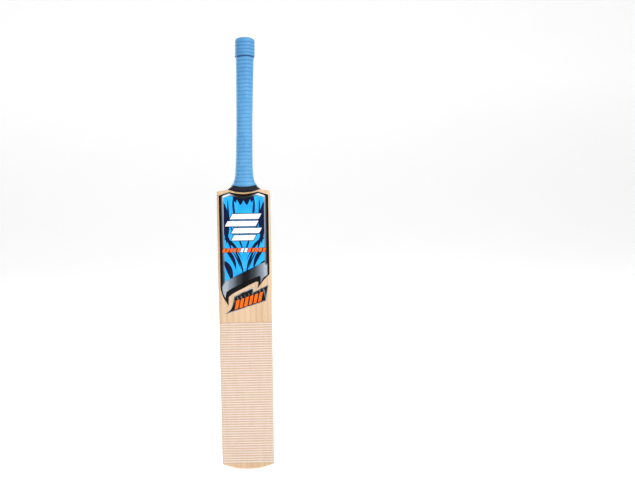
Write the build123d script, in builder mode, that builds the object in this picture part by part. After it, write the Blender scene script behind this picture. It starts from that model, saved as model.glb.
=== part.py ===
from build123d import *
from math import cos, radians, sin, sqrt, tan
import os

os.makedirs("parts", exist_ok=True)

# Cricket bat, short handle, full size, in millimetres.
# +Z runs up the bat from the lowest point of the toe, the striking face looks toward -Y
# and the ridge of the back toward +Y. X is the width.

# ---- blade ------------------------------------------------------------------------------
face_y = -9.4  # striking face at the shoulder
bow_radius = 5750.0  # lengthwise bow of the face
bow_start_z = 560.0
face_corner_r = 3.5
back_corner_r = 6.0
back_corner_turn = 84.0  # degrees swept by the rounded back corner
ridge_softness = 5.5
scallop_power = 2.0

# height, half width, thickness at the edge, depth from the face to the ridge
blade_stations = [
    (-6.0, 51.6, 20.5, 22.5),
    (20.0, 51.9, 24.5, 26.6),
    (70.0, 52.3, 29.5, 36.0),
    (135.0, 52.7, 32.5, 46.0),
    (200.0, 53.1, 35.0, 51.8),
    (266.0, 53.4, 35.5, 53.2),
    (331.0, 53.6, 31.5, 48.0),
    (396.0, 53.7, 27.5, 42.5),
    (462.0, 53.6, 23.0, 35.8),
    (520.0, 53.5, 19.0, 30.8),
    (580.0, 53.4, 17.0, 30.0),
]

toe_rise = 9.5  # how far the toe's corners stand above its middle
toe_half_width = 51.7
toe_corner_r = 3.5
toe_face_chamfer = 4.5
toe_land = 11.0
toe_back_angle = 42.0
shoulder_z = 558.5
shoulder_inner_z = 562.0
shoulder_inner_x = 33.0
shoulder_corner_r = 2.0

# ---- handle -----------------------------------------------------------------------------
handle_base_z = 566.0
handle_base_x = 1.5
handle_base_back = 12.3  # axis behind the striking face at the base
lean_side = 1.35  # degrees toward +X, going up
lean_face = 1.05  # degrees toward the face, going up
handle_top_z = 852.0
grip_thick = 2.0
twine_thick = 1.0

# height, half width and half depth of the finished handle, over the grip
handle_stations = [
    (571.5, 25.2, 18.4),
    (575.5, 22.8, 18.5),
    (581.0, 20.6, 18.6),
    (588.0, 19.2, 18.5),
    (596.0, 18.3, 18.2),
    (606.0, 17.7, 17.9),
    (620.0, 17.3, 17.5),
    (638.0, 17.0, 17.0),
    (660.0, 16.8, 16.7),
    (690.0, 16.5, 16.4),
    (720.0, 16.7, 16.4),
    (750.0, 17.0, 16.5),
    (785.0, 17.4, 16.9),
    (815.0, 18.0, 17.4),
    (handle_top_z, 18.3, 17.6),
]
# the same for the flared foot, whose centre also shifts toward the back: last figure
foot_stations = [
    (554.0, 37.5, 15.4, 3.2),
    (558.5, 36.0, 16.5, 1.9),
    (562.5, 33.8, 17.3, 1.0),
    (567.0, 29.0, 18.1, 0.2),
]

splice_half_top = 18.6
splice_top_z = 580.0
splice_half_shoulder = 18.0
splice_tip_z = 425.0
splice_tip_half = 1.5

slats_in_block = 3
slat_thick = 2.0
spring_thick = 1.2

collar_r = 20.2
collar_length = 28.0
collar_low_z = 823.1
collar_dome = 5.0

# ---- coverings --------------------------------------------------------------------------
film = 0.3
foot_low_z = 554.5
core_low_z = 561.4
apron_half = 31.5
apron_high_z = 562.3
apron_low_z = 556.0
apron_thick = 0.5
band_front_z = 567.5
band_side_z = 571.0
band_back_z = 562.5
tape_low_z = 12.5
tape_high_z = 295.0
tape_wrap = 9.0


def bow(z):
    """Position of the striking face at height z."""
    return face_y - (bow_start_z - z) ** 2 / (2 * bow_radius)


def axis_x(z):
    """Handle axis at height z, across the bat."""
    return handle_base_x + (z - handle_base_z) * tan(radians(lean_side))


def axis_y(z):
    """Handle axis at height z, front to back."""
    return face_y + handle_base_back - (z - handle_base_z) * tan(radians(lean_face))


def blade_section(z, half, edge, depth, grow):
    """Blade cross-section: flat face, square edges and two hollows up to a ridge."""
    half = half + grow
    front = bow(z) - grow
    ridge = bow(z) + depth + grow
    corner_y = bow(z) + edge - back_corner_r + grow
    turn = radians(back_corner_turn)
    start_x = half - back_corner_r * (1 - cos(turn))
    start_y = corner_y + back_corner_r * sin(turn)
    run = sqrt(start_x**2 + ridge_softness**2) - ridge_softness

    def hollow(share):
        x = start_x * (1 - share)
        climb = 1 - (sqrt(x**2 + ridge_softness**2) - ridge_softness) / run
        return x, start_y + (ridge - start_y) * climb**scallop_power

    right = [hollow(share) for share in (0, 0.2, 0.4, 0.6, 0.8, 0.92, 1)]
    with BuildSketch(Plane.XY.offset(z)) as section:
        with BuildLine():
            Line((-half + face_corner_r, front), (half - face_corner_r, front))
            TangentArc((half - face_corner_r, front), (half, front + face_corner_r), tangent=(1, 0))
            Line((half, front + face_corner_r), (half, corner_y))
            TangentArc((half, corner_y), right[0], tangent=(0, 1))
            Spline(*right, tangents=[(-sin(turn), cos(turn)), (-1, 0)])
            left = [(-x, y) for x, y in reversed(right)]
            Spline(*left, tangents=[(-1, 0), (-sin(turn), -cos(turn))])
            TangentArc((-half, corner_y), left[-1], tangent=(0, 1))
            Line((-half, corner_y), (-half, front + face_corner_r))
            TangentArc((-half + face_corner_r, front), (-half, front + face_corner_r), tangent=(-1, 0))
        make_face()
    return section.sketch


def blade_form(grow):
    """The blade's skin, lofted through its stations and not yet cut to length."""
    with BuildPart() as form:
        loft([blade_section(*station, grow) for station in blade_stations])
    return form.part


def handle_form(inset, low_z):
    """Handle outline shrunk by an inset, from its flared foot to the top."""
    with BuildPart() as form:
        sections = []
        for z, a, b, shift in foot_stations + [(*station, 0.0) for station in handle_stations]:
            with BuildSketch(Plane.XY.offset(z)) as ring:
                with Locations((axis_x(z), axis_y(z) + shift)):
                    Ellipse(a - inset, b - inset)
            sections.append(ring.sketch)
        loft(sections, ruled=True)
        with Locations((0, 0, low_z)):
            Box(200, 200, 400, align=(Align.CENTER, Align.CENTER, Align.MIN), mode=Mode.INTERSECT)
    return form.part


def plate_xz(drawing, y_from, y_to):
    """Solid made by pushing an outline drawn in the XZ plane from y_from to y_to."""
    with BuildPart() as plate:
        with BuildSketch(Plane((0, y_to, 0), x_dir=(1, 0, 0), z_dir=(0, -1, 0))):
            with BuildLine():
                drawing()
            make_face()
        extrude(amount=y_to - y_from)
    return plate.part


def blade_outline():
    """Front outline of the blade: curved toe, open sides and shoulders."""
    side = toe_half_width + 3
    radius = (toe_half_width**2 + toe_rise**2) / (2 * toe_rise)
    rise_at_side = radius - sqrt(radius**2 - side**2)
    ThreePointArc((-side, rise_at_side), (0, 0), (side, rise_at_side))
    Polyline(
        (side, rise_at_side),
        (side, shoulder_z),
        (shoulder_inner_x, shoulder_inner_z),
        (-shoulder_inner_x, shoulder_inner_z),
        (-side, shoulder_z),
        (-side, rise_at_side),
    )


def splice_outline():
    """Long V of the handle's splice, with the wide part that holds the whole handle."""
    Polyline(
        (-45, 900),
        (-45, splice_top_z),
        (-splice_half_top, splice_top_z),
        (-splice_half_shoulder, shoulder_z),
        (-splice_tip_half, splice_tip_z),
        (splice_tip_half, splice_tip_z),
        (splice_half_shoulder, shoulder_z),
        (splice_half_top, splice_top_z),
        (45, splice_top_z),
        (45, 900),
        (-45, 900),
    )


def corner_cutter(x, z, radius, sign_x, sign_z):
    """Waste left outside a rounded corner of the blade's front outline."""
    with BuildPart() as cutter:
        with BuildSketch(Plane((0, -60, 0), x_dir=(-1, 0, 0), z_dir=(0, 1, 0))):
            with Locations((-(x - sign_x * radius), z - sign_z * radius)):
                Rectangle(
                    2 * radius,
                    2 * radius,
                    align=(
                        Align.MAX if sign_x > 0 else Align.MIN,
                        Align.MIN if sign_z > 0 else Align.MAX,
                    ),
                )
                Circle(radius, mode=Mode.SUBTRACT)
        extrude(amount=130)
    return cutter.part


def toe_cutters(grow):
    """Two coned rings that chamfer the toe's face side and back side, moved out by grow."""
    radius = (toe_half_width**2 + toe_rise**2) / (2 * toe_rise)
    face_start = bow(0) + toe_face_chamfer
    back_start = face_start + toe_land
    drop = tan(radians(toe_back_angle))
    with BuildPart() as rings:
        with BuildSketch(Plane.YZ):
            with BuildLine():
                Polyline(
                    (face_start - 1.4 * grow, 0),
                    (face_start - 1.4 * grow - 12, 12),
                    (face_start - 1.4 * grow - 12, -12),
                    (face_start - 1.4 * grow, -12),
                    close=True,
                )
            make_face()
            with BuildLine():
                Polyline(
                    (back_start + 1.4 * grow, 0),
                    (back_start + 1.4 * grow + 40, 40 * drop),
                    (back_start + 1.4 * grow + 40, -12),
                    (back_start + 1.4 * grow, -12),
                    close=True,
                )
            make_face()
        revolve(axis=Axis((0, 0, radius), (0, 1, 0)), revolution_arc=360)
        Box(200, 200, 46, align=(Align.CENTER, Align.CENTER, Align.CENTER), mode=Mode.INTERSECT)
    return rings.part


def trimmed_form(form, grow):
    """Blade cut to length, with its toe chamfered and its outer corners rounded."""
    corner_z = toe_rise * (toe_half_width - toe_corner_r) ** 2 / toe_half_width**2
    with BuildPart() as trimmed:
        add(form)
        add(plate_xz(blade_outline, -70, 90), mode=Mode.INTERSECT)
        add(toe_cutters(grow), mode=Mode.SUBTRACT)
        for side in (-1, 1):
            toe_waste = corner_cutter(side * 51.9, corner_z, toe_corner_r, side, -1)
            add(toe_waste, mode=Mode.SUBTRACT)
            top_waste = corner_cutter(side * 53.6, shoulder_z + 0.2, shoulder_corner_r, side, 1)
            add(top_waste, mode=Mode.SUBTRACT)
    return trimmed.part


# ---- whole wooden body, before the handle and the blade are told apart ---------------------
bare_blade = trimmed_form(blade_form(0), 0)
core_form = handle_form(grip_thick + twine_thick, core_low_z)
covered_form = handle_form(0, foot_low_z)

with BuildPart() as body:
    add(bare_blade)
    add(core_form)

splice = plate_xz(splice_outline, -70, 90)

# ---- blade: willow, with the V socket --------------------------------------------------------
with BuildPart() as blade:
    add(body.part)
    add(splice, mode=Mode.SUBTRACT)
blade.part.label = "blade"
export_step(blade.part, "parts/blade.step")

# ---- handle: cane slats in blocks with rubber springs between them ---------------------------
with BuildPart() as handle_body:
    add(body.part)
    add(splice, mode=Mode.INTERSECT)

blocks = 4
block_thick = slats_in_block * slat_thick
stack = blocks * block_thick + (blocks - 1) * spring_thick
layer_plane = Plane(
    (0, axis_y(handle_base_z), handle_base_z),
    x_dir=(1, 0, 0),
    z_dir=(0, -sin(radians(90 - lean_face)), -cos(radians(90 - lean_face))),
)


def layer(low, high):
    """Slice of the handle between two depths, counted from its middle toward the face."""
    with BuildPart() as slab:
        with BuildSketch(layer_plane.offset(low)):
            Rectangle(200, 900)
        extrude(amount=high - low)
        add(handle_body.part, mode=Mode.INTERSECT)
    return slab.part


for block in range(blocks):
    block_low = -stack / 2 + block * (block_thick + spring_thick)
    for number in range(slats_in_block):
        low = block_low + number * slat_thick
        high = low + slat_thick
        if block == 0 and number == 0:
            low = low - 40
        if block == blocks - 1 and number == slats_in_block - 1:
            high = high + 40
        with BuildPart() as slat:
            add(layer(low, high))
        name = f"cane_slat_{block * slats_in_block + number + 1:02d}"
        slat.part.label = name
        export_step(slat.part, f"parts/{name}.step")
    if block < blocks - 1:
        with BuildPart() as spring:
            add(layer(block_low + block_thick, block_low + block_thick + spring_thick))
        name = f"rubber_spring_{block + 1}"
        spring.part.label = name
        export_step(spring.part, f"parts/{name}.step")

# ---- twine, closely wound over the cane -------------------------------------------------------
with BuildPart() as binding_twine:
    add(handle_form(grip_thick, 575.0))
    add(body.part, mode=Mode.SUBTRACT)
    with Locations((0, 0, handle_top_z - 4)):
        Box(200, 200, 40, align=(Align.CENTER, Align.CENTER, Align.MIN), mode=Mode.SUBTRACT)
binding_twine.part.label = "binding_twine"
export_step(binding_twine.part, "parts/binding_twine.step")


def above_wave():
    """Everything above the wavy line where the grip ends and the black band begins."""
    middle = axis_y(handle_base_z)
    with BuildPart() as region:
        with BuildSketch(Plane.YZ.offset(-100)):
            with BuildLine():
                Spline(
                    (middle - 40, band_front_z - 9),
                    (middle - 18, band_front_z),
                    (middle, band_side_z),
                    (middle + 18, band_back_z),
                    (middle + 40, band_back_z - 16),
                )
                Polyline(
                    (middle + 40, band_back_z - 16),
                    (middle + 40, 900),
                    (middle - 40, 900),
                    (middle - 40, band_front_z - 9),
                )
            make_face()
        extrude(amount=200)
    return region.part


wave = above_wave()

# ---- ribbed rubber grip, plain here at the height of its ribs ---------------------------------
with BuildPart() as grip:
    add(covered_form)
    add(wave, mode=Mode.INTERSECT)
    add(body.part, mode=Mode.SUBTRACT)
    add(binding_twine.part, mode=Mode.SUBTRACT)
grip.part.label = "grip"
export_step(grip.part, "parts/grip.step")

# ---- black band over the foot of the handle, lapped down over the top of the face ----------------


def apron_outline():
    """Lap of the band on the face, hanging from the top edge of the blade."""
    ThreePointArc(
        (handle_base_x - apron_half, apron_high_z),
        (handle_base_x, apron_low_z),
        (handle_base_x + apron_half, apron_high_z),
    )
    Line(
        (handle_base_x + apron_half, apron_high_z),
        (handle_base_x - apron_half, apron_high_z),
    )


with BuildPart() as shoulder_band:
    add(covered_form)
    add(plate_xz(apron_outline, face_y - apron_thick, face_y + 4))
    add(wave, mode=Mode.SUBTRACT)
    add(body.part, mode=Mode.SUBTRACT)
shoulder_band.part.label = "shoulder_band"
export_step(shoulder_band.part, "parts/shoulder_band.step")

# ---- collar: rolled end of the grip, closed over the top ----------------------------------------
up = Vector(tan(radians(lean_side)), -tan(radians(lean_face)), 1).normalized()
collar_plane = Plane(
    (axis_x(collar_low_z), axis_y(collar_low_z), collar_low_z), x_dir=(1, 0, 0), z_dir=up
)
with BuildPart() as grip_collar:
    with BuildSketch(collar_plane):
        Circle(collar_r)
    extrude(amount=collar_length + collar_dome + 3.5)
    fillet(grip_collar.edges().filter_by(GeomType.CIRCLE).sort_by(Axis.Z)[-1], collar_dome + 2.5)
    add(covered_form, mode=Mode.SUBTRACT)
grip_collar.part.label = "grip_collar"
export_step(grip_collar.part, "parts/grip_collar.step")

# ---- thin coverings on the blade ------------------------------------------------------------------
with BuildPart() as skin:
    add(trimmed_form(blade_form(film), film))
    add(bare_blade, mode=Mode.SUBTRACT)


def tape_region():
    """Front part of the blade that the fibre tape covers, seen from the side."""
    middle_z = (tape_low_z + tape_high_z) / 2
    with BuildPart() as region:
        with BuildSketch(Plane.YZ.offset(-100)):
            with BuildLine():
                ThreePointArc(
                    (bow(tape_low_z) + tape_wrap, tape_low_z),
                    (bow(middle_z) + tape_wrap, middle_z),
                    (bow(tape_high_z) + tape_wrap, tape_high_z),
                )
                Polyline(
                    (bow(tape_high_z) + tape_wrap, tape_high_z),
                    (-80, tape_high_z),
                    (-80, tape_low_z),
                    (bow(tape_low_z) + tape_wrap, tape_low_z),
                )
            make_face()
        extrude(amount=200)
    return region.part


with BuildPart() as face_tape:
    add(skin.part)
    add(tape_region(), mode=Mode.INTERSECT)
face_tape.part.label = "face_tape"
export_step(face_tape.part, "parts/face_tape.step")


def face_label_outline():
    """Upper face label: a notched top, straight sides and two swept points below."""
    Spline((-29, 557), (-14, 554), (0, 552.5), (14, 554), (29, 557))
    Polyline((29, 557), (49.5, 550.5), (49.5, 391))
    Spline((49.5, 391), (37, 378.5), (24.6, 362.2))
    Line((24.6, 362.2), (26.8, 374.5))
    Spline((26.8, 374.5), (22.5, 376.5), (-2, 364.5), (-25, 353), (-33.3, 346))
    Line((-33.3, 346), (-34, 329))
    Spline((-34, 329), (-44, 346), (-49.5, 363))
    Polyline((-49.5, 363), (-49.5, 550.5), (-29, 557))


def face_label_low_outline():
    """Lower face label: a slanted lozenge with one swept point."""
    Polyline((-22.4, 347.7), (16.6, 365.7), (16, 355), (46.3, 370), (41.2, 337.5), (-41, 312))
    ThreePointArc((-41, 312), (-32.3, 319), (-26, 329))
    Line((-26, 329), (-22.4, 347.7))


def back_label_outline():
    """Back label: straight sides and two points with an arch between them."""
    Spline((-28.7, 557), (-14, 552), (0, 550), (14, 552), (28.7, 557))
    Polyline((28.7, 557), (48.8, 549), (48.8, 351))
    Spline((48.8, 351), (36, 325), (22, 297.5))
    Spline((22, 297.5), (15.5, 324), (0, 340.5), (-15.5, 324), (-22, 297.5))
    Spline((-22, 297.5), (-36, 325), (-48.8, 351))
    Polyline((-48.8, 351), (-48.8, 549), (-28.7, 557))


def flame_outline(side):
    """Long swept flame beside the ridge, on the +X half for side 1 and -X for side -1."""
    outer = [(45, 318.5), (45, 288), (41, 262), (30.5, 224), (25.5, 196), (30, 165), (39.5, 132), (38, 88.5)]
    inner = [(38, 88.5), (35, 118), (25.5, 139), (8, 171), (5.2, 195), (12, 229), (20, 260), (16.5, 280)]
    Spline(*[(side * x, z) for x, z in outer])
    Spline(*[(side * x, z) for x, z in inner])
    Spline((side * 16.5, 280), (side * 32, 295.5), (side * 45, 318.5))


def toe_label_outline():
    """Toe label on the back: two horns, an inner arch and a shallow V below."""
    Spline((8.2, 112.5), (23, 89), (37.2, 65), (44.2, 38))
    Line((44.2, 38), (44.8, 21.5))
    Spline((44.8, 21.5), (25, 11), (0, 4.5), (-25, 11), (-44.8, 21.5))
    Line((-44.8, 21.5), (-44.2, 38))
    Spline((-44.2, 38), (-37.2, 65), (-23, 89), (-8.2, 112.5))
    Spline((-8.2, 112.5), (-14.5, 90.5), (-20, 68.5))
    Spline((-20, 68.5), (-13.5, 49), (0, 36.5), (13.5, 49), (20, 68.5))
    Spline((20, 68.5), (14.5, 90.5), (8.2, 112.5))


flat_labels = [
    ("face_label", face_label_outline, -70, 0),
    ("face_label_lower", face_label_low_outline, -70, 0),
    ("back_label", back_label_outline, 1, 90),
    ("back_flame_right", lambda: flame_outline(1), -12, 90),
    ("back_flame_left", lambda: flame_outline(-1), -12, 90),
    ("back_toe_label", toe_label_outline, -25, 90),
]
for name, drawing, y_from, y_to in flat_labels:
    with BuildPart() as label_film:
        add(skin.part)
        add(plate_xz(drawing, y_from, y_to), mode=Mode.INTERSECT)
    label_film.part.label = name
    export_step(label_film.part, f"parts/{name}.step")

for name, x_from, reach in (("edge_label_right", 40, 30), ("edge_label_left", -70, 30)):
    with BuildPart() as edge_label:
        with BuildSketch(Plane.YZ.offset(x_from)):
            with BuildLine():
                Line((face_y + 4.8, 554), (face_y + 13, 554))
                Spline(
                    (face_y + 13, 554),
                    (face_y + 16, 480),
                    (face_y + 20, 405),
                    (face_y + 17, 345),
                    (face_y + 10.5, 302),
                )
                Spline(
                    (face_y + 10.5, 302),
                    (face_y + 6, 345),
                    (face_y + 4.3, 400),
                    (face_y + 4.8, 554),
                )
            make_face()
        extrude(amount=reach)
        add(skin.part, mode=Mode.INTERSECT)
    edge_label.part.label = name
    export_step(edge_label.part, f"parts/{name}.step")
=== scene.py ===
import bpy
import math
from mathutils import Euler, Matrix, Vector, noise
from mathutils.bvhtree import BVHTree
from mathutils.geometry import delaunay_2d_cdt


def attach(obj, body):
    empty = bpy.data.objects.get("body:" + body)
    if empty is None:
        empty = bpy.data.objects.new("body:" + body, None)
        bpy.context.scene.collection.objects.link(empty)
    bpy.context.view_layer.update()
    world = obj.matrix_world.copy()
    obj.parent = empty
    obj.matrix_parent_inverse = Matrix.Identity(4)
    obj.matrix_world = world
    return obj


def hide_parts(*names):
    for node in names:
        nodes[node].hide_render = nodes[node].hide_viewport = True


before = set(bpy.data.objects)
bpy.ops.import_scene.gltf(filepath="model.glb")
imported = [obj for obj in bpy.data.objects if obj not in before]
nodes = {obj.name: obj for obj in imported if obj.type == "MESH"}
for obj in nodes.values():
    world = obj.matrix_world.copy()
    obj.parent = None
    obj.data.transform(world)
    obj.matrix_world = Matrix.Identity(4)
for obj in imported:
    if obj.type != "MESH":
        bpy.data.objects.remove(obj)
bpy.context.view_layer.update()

MM = 0.001
scene = bpy.context.scene
scene.view_settings.view_transform = "Standard"
scene.view_settings.look = "None"


def srgb(r, g, b):
    """Linear colour from 0-255 display values."""
    out = []
    for value in (r, g, b):
        c = value / 255
        out.append(c / 12.92 if c <= 0.04045 else ((c + 0.055) / 1.055) ** 2.4)
    return (*out, 1.0)


# ---- materials --------------------------------------------------------------------------

class Shader:
    """One Principled material with small helpers for its nodes."""

    def __init__(self, name, **constants):
        self.mat = bpy.data.materials.new(name)
        self.mat.use_nodes = True
        self.tree = self.mat.node_tree
        self.bsdf = self.tree.nodes["Principled BSDF"]
        self.coords = self.add("ShaderNodeTexCoord").outputs["Object"]
        for key, value in constants.items():
            self.bsdf.inputs[key.replace("_", " ")].default_value = value

    def add(self, kind, **settings):
        node = self.tree.nodes.new(kind)
        for key, value in settings.items():
            setattr(node, key, value)
        return node

    def link(self, source, target):
        self.tree.links.new(source, target)

    def scaled(self, sx, sy, sz, turn=(0, 0, 0)):
        node = self.add("ShaderNodeMapping")
        node.inputs["Scale"].default_value = (sx, sy, sz)
        node.inputs["Rotation"].default_value = turn
        self.link(self.coords, node.inputs["Vector"])
        return node.outputs[0]

    def noise(self, vector, detail=4.0, rough=0.55, distort=0.0, scale=1.0):
        node = self.add("ShaderNodeTexNoise")
        node.inputs["Scale"].default_value = scale
        node.inputs["Detail"].default_value = detail
        node.inputs["Roughness"].default_value = rough
        node.inputs["Distortion"].default_value = distort
        self.link(vector, node.inputs["Vector"])
        return node.outputs[0]

    def math(self, operation, a, b=0.0, c=0.0):
        node = self.add("ShaderNodeMath", operation=operation)
        for socket, value in zip(node.inputs, (a, b, c)):
            if isinstance(value, (int, float)):
                socket.default_value = value
            else:
                self.link(value, socket)
        return node.outputs[0]

    def ramp(self, value, *stops):
        node = self.add("ShaderNodeValToRGB")
        marks = node.color_ramp.elements
        while len(marks) < len(stops):
            marks.new(0.5)
        for mark, (place, colour) in zip(marks, stops):
            mark.position = place
            mark.color = colour if len(colour) == 4 else (*colour, 1)
        self.link(value, node.inputs[0])
        return node.outputs[0]

    def grey(self, value, low, high, dark=0.0, light=1.0):
        return self.ramp(value, (low, (dark,) * 3), (high, (light,) * 3))

    def mix(self, share, a, b, blend="MIX"):
        node = self.add("ShaderNodeMix", data_type="RGBA", blend_type=blend)
        for socket, value in ((node.inputs[0], share), (node.inputs[6], a), (node.inputs[7], b)):
            if isinstance(value, (int, float, tuple)):
                socket.default_value = value
            else:
                self.link(value, socket)
        return node.outputs[2]

    def bump(self, height, distance, strength=1.0):
        node = self.add("ShaderNodeBump")
        node.inputs["Distance"].default_value = distance
        node.inputs["Strength"].default_value = strength
        self.link(height, node.inputs["Height"])
        self.link(node.outputs[0], self.bsdf.inputs["Normal"])

    def colour(self, value):
        self.link(value, self.bsdf.inputs["Base Color"])

    def roughness(self, value, low, high):
        self.link(self.grey(value, 0.3, 0.7, low, high), self.bsdf.inputs["Roughness"])

    def axis(self, which):
        node = self.add("ShaderNodeSeparateXYZ")
        self.link(self.coords, node.inputs[0])
        return node.outputs[which]


def wood(name, pale, deep, streak, ring, grain_turn=(0, 0, 0)):
    """Straight-grained willow or cane: growth lines, fine fibres, small brown specks."""
    s = Shader(name, Coat_Weight=0.06, Coat_Roughness=0.3, Specular_IOR_Level=0.3)
    drift = s.noise(s.scaled(6, 6, 1.6, grain_turn), 3.0, 0.5)
    across = s.math("MULTIPLY_ADD", drift, 0.010, s.axis("X"))
    line = s.math("SINE", s.math("MULTIPLY", across, 2 * math.pi / ring))
    line = s.math("MULTIPLY_ADD", line, 0.5, 0.5)
    fade = s.grey(s.noise(s.scaled(40, 40, 2)), 0.3, 0.7, 0.25, 1.0)
    line = s.math("MULTIPLY", s.math("POWER", line, 4.0), fade)
    fibre = s.noise(s.scaled(900, 900, 9, grain_turn), 5.0, 0.6)
    broad = s.noise(s.scaled(28, 28, 3, grain_turn), 3.0, 0.5)
    speck = s.noise(s.scaled(330, 330, 60, grain_turn), 2.0, 0.4)
    dirt = s.noise(s.scaled(9, 9, 5, grain_turn), 4.0, 0.6)
    base = s.mix(s.grey(broad, 0.30, 0.72), pale, deep)
    base = s.mix(s.math("MULTIPLY", line, 0.38), base, streak)
    base = s.mix(s.grey(fibre, 0.42, 0.72, 0.0, 0.22), base, streak)
    base = s.mix(s.grey(speck, 0.74, 0.80, 0.0, 0.55), base, srgb(150, 96, 48))
    base = s.mix(s.grey(dirt, 0.55, 0.80, 0.0, 0.20), base, streak)
    s.colour(base)
    s.roughness(fibre, 0.34, 0.50)
    s.bump(s.math("ADD", fibre, s.math("MULTIPLY", line, 0.25)), 0.00022, 0.35)
    return s.mat


def print_ink(name, tones):
    """Printed sticker ink; its tone is carried by the mesh, with slight mottling and scuffs."""
    gloss = 0.27
    spread = 0.10
    s = Shader(name, Coat_Weight=0.06, Coat_Roughness=0.16, Specular_IOR_Level=0.14)
    tone = s.add("ShaderNodeAttribute", attribute_name="tone").outputs["Fac"]
    mottle = s.noise(s.scaled(70, 70, 45), 4.0, 0.6)
    grain = s.noise(s.scaled(1500, 1500, 1500), 2.0, 0.5)
    scuff = s.noise(s.scaled(210, 210, 26), 5.0, 0.65)
    value = s.math("ADD", tone, s.math("MULTIPLY_ADD", mottle, spread, -spread / 2))
    base = s.ramp(value, *tones)
    base = s.mix(s.grey(scuff, 0.66, 0.90, 0.0, 0.10), base, srgb(190, 186, 180))
    s.colour(base)
    s.roughness(scuff, gloss, gloss + 0.16)
    s.bump(grain, 0.00003, 0.3)
    return s.mat


def grip_rubber(name):
    """Sky-blue ribbed rubber: matte, faintly mottled, with painted shade from the mesh's tone: darker blue
    in the rib grooves and under the collar.
    """
    s = Shader(name, Sheen_Weight=0.10, Sheen_Roughness=0.5)
    cloud = s.noise(s.scaled(45, 45, 30), 4.0, 0.6)
    fine = s.noise(s.scaled(1700, 1700, 1700), 3.0, 0.6)
    ridge = s.math("SINE", s.math("MULTIPLY", s.axis("Z"), 2 * math.pi / 0.00123))
    # tone carries painted shade: low in the rib grooves and just under the collar, where the mixes below
    # turn it to darker blue
    shade_tone = s.add("ShaderNodeAttribute", attribute_name="tone").outputs["Fac"]
    base = s.mix(s.grey(cloud, 0.3, 0.7), srgb(66, 142, 200), srgb(90, 164, 213))
    base = s.mix(s.grey(fine, 0.45, 0.75, 0.0, 0.35), base, srgb(124, 192, 230))
    base = s.mix(s.grey(shade_tone, 0.4, 0.95), srgb(44, 112, 172), base)
    base = s.mix(s.grey(shade_tone, 0.0, 0.42), srgb(20, 70, 122), base)
    s.colour(base)
    s.roughness(cloud, 0.42, 0.60)
    s.bump(s.math("MULTIPLY_ADD", ridge, 0.25, fine), 0.00016, 0.5)
    return s.mat


def band_cloth(name):
    """Black cloth tape, slightly shiny, with a woven relief."""
    s = Shader(name, Coat_Weight=0.05, Coat_Roughness=0.3, Specular_IOR_Level=0.2)
    weave = s.noise(s.scaled(900, 900, 2600), 2.0, 0.4)
    cloud = s.noise(s.scaled(60, 60, 60), 4.0, 0.6)
    s.colour(s.mix(s.grey(cloud, 0.3, 0.75), srgb(3, 7, 15), srgb(16, 26, 42)))
    s.roughness(cloud, 0.30, 0.45)
    s.bump(weave, 0.00020, 0.5)
    return s.mat


def fibre_tape(name):
    """Clear tape over wood: white reinforcing threads run across the bat."""
    s = Shader(name, Coat_Weight=0.45, Coat_Roughness=0.14)
    wander = s.noise(s.scaled(30, 30, 30), 2.0, 0.5)
    z = s.math("MULTIPLY_ADD", wander, 0.0004, s.axis("Z"))
    wave = s.math("SINE", s.math("MULTIPLY", z, 2 * math.pi / 0.00485))
    wave = s.math("MULTIPLY_ADD", wave, 0.5, 0.5)
    fine = s.math("SINE", s.math("MULTIPLY", z, 2 * math.pi / 0.00121))
    grain = s.noise(s.scaled(200, 200, 9), 4.0, 0.6)
    broken = s.noise(s.scaled(40, 40, 420), 3.0, 0.6)
    base = s.mix(s.grey(grain, 0.3, 0.7), srgb(208, 176, 148), srgb(194, 160, 130))
    cover = s.math("MULTIPLY", s.grey(wave, 0.30, 0.72), s.grey(broken, 0.25, 0.5, 0.72, 1.0))
    base = s.mix(s.math("MULTIPLY", cover, 0.85), base, srgb(228, 215, 205))
    s.colour(base)
    s.roughness(broken, 0.24, 0.38)
    s.bump(s.math("MULTIPLY_ADD", fine, 0.35, wave), 0.00010, 0.55)
    return s.mat


def twine_mat(name):
    """Pale twine, wound in close turns."""
    s = Shader(name)
    turns = s.math("SINE", s.math("MULTIPLY", s.axis("Z"), 2 * math.pi / 0.0009))
    cloud = s.noise(s.scaled(300, 300, 300), 3.0, 0.6)
    s.colour(s.mix(cloud, srgb(206, 190, 156), srgb(170, 150, 114)))
    s.roughness(cloud, 0.6, 0.8)
    s.bump(turns, 0.0003, 0.7)
    return s.mat


def black_rubber(name):
    """Plain dark rubber of the springs."""
    s = Shader(name)
    cloud = s.noise(s.scaled(200, 200, 200), 4.0, 0.6)
    s.colour(s.mix(cloud, srgb(22, 22, 23), srgb(46, 45, 44)))
    s.roughness(cloud, 0.55, 0.75)
    s.bump(cloud, 0.0002, 0.4)
    return s.mat


willow = wood("willow", srgb(226, 197, 166), srgb(210, 177, 141), srgb(182, 140, 98), 0.0118)
cane = wood("cane", srgb(212, 178, 130), srgb(192, 154, 102), srgb(142, 106, 58), 0.0031)
rubber_blue = grip_rubber("grip_rubber")
cloth_black = band_cloth("band_cloth")
tape_mat = fibre_tape("fibre_tape")

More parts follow.
